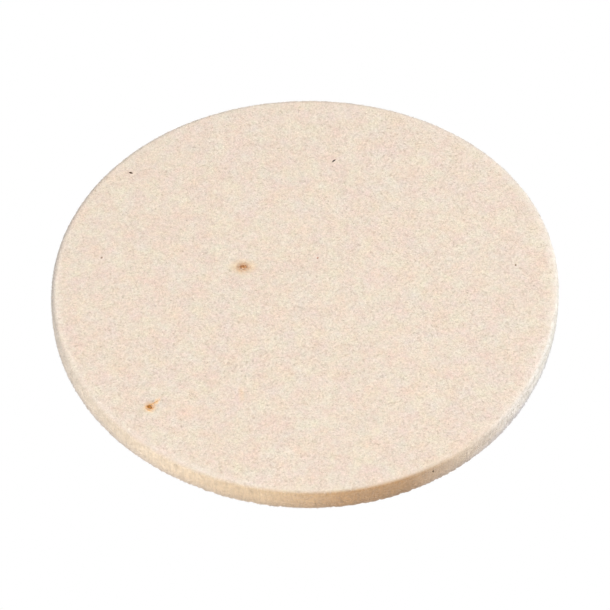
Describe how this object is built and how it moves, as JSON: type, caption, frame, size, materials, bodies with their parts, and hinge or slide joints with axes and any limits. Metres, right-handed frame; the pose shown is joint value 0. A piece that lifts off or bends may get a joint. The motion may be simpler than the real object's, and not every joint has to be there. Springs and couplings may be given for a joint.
{
  "type": "felt polishing wheel",
  "caption": "Round hard-felt polishing disc with plain flat faces, soft cut edges and small burr flecks trapped in the wool; no arbor hole.",
  "frame": {"origin": "centre of the disc's flat back face", "axes": "+Z along the disc's axis, out of the working face; +X and +Y lie in the back face"},
  "size_m": [0.2032, 0.2032, 0.0095],
  "materials": {
    "wool_felt": "matt, fine matted wool fibre",
    "burr_shell": "matt dry seed husk",
    "burr_stalk": "matt dry plant stalk",
    "dark_chip": "matt dry plant chip"
  },
  "bodies": {
    "root": {"felt_disc": "wool_felt", "inner_burr": "burr_shell", "outer_burr": "burr_shell", "outer_burr_stalk": "burr_stalk", "splinter": "dark_chip", "back_chip": "dark_chip", "left_chip": "dark_chip", "right_chip": "dark_chip", "middle_chip": "dark_chip", "rim_chip": "dark_chip"}
  },
  "joints": []
}
